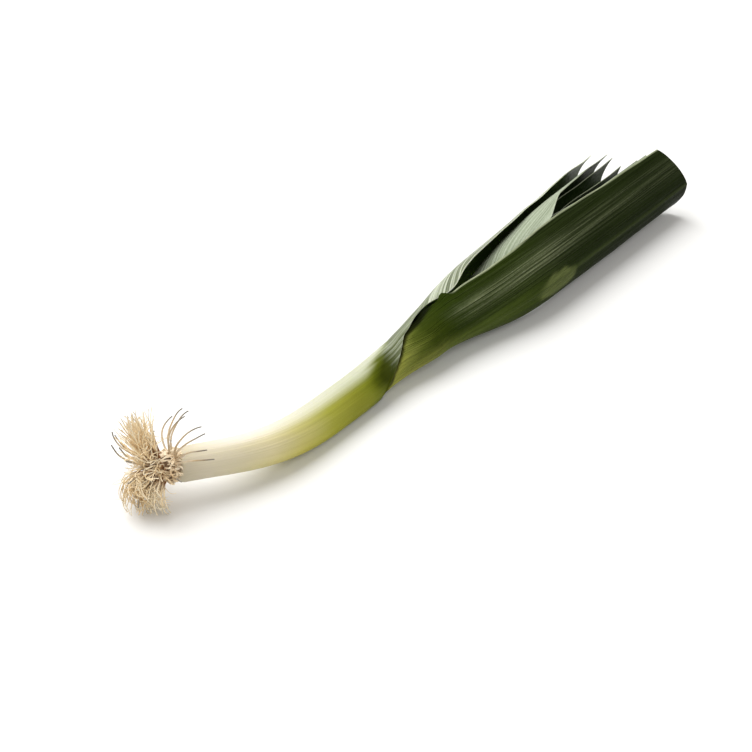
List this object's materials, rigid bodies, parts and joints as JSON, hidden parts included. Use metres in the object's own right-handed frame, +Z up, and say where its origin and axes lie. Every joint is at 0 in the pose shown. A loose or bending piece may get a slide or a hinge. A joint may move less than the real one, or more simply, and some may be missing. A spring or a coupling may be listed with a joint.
{
  "type": "leek",
  "caption": "Trimmed leek lying on its side: tuft of fibrous roots, gently bent white to green shank of rolled sheaths, and folded strap leaves cut across.",
  "frame": {"origin": "centre of the small flat under the shank where the leek rests on the surface", "axes": "+X from the roots towards the leaves, +Z up, +Y to the left"},
  "size_m": [0.6509, 0.1253, 0.0798],
  "materials": {
    "root": "dry pale tan plant fibre with a brown root plate",
    "sheath": "smooth moist leaf sheath, white at the roots turning yellow-green at the collar, satin",
    "outer_leaf": "dark blue-green waxy leaf with fine lengthwise veins, satin",
    "inner_leaf": "grey-green waxy leaf with fine lengthwise veins, satin"
  },
  "bodies": {
    "root": {"roots": "root", "shank": "sheath", "leaf_1": "outer_leaf", "leaf_2": "outer_leaf", "leaf_3": "inner_leaf", "leaf_4": "inner_leaf", "leaf_5": "inner_leaf", "leaf_6": "inner_leaf", "leaf_7": "inner_leaf"}
  },
  "joints": []
}
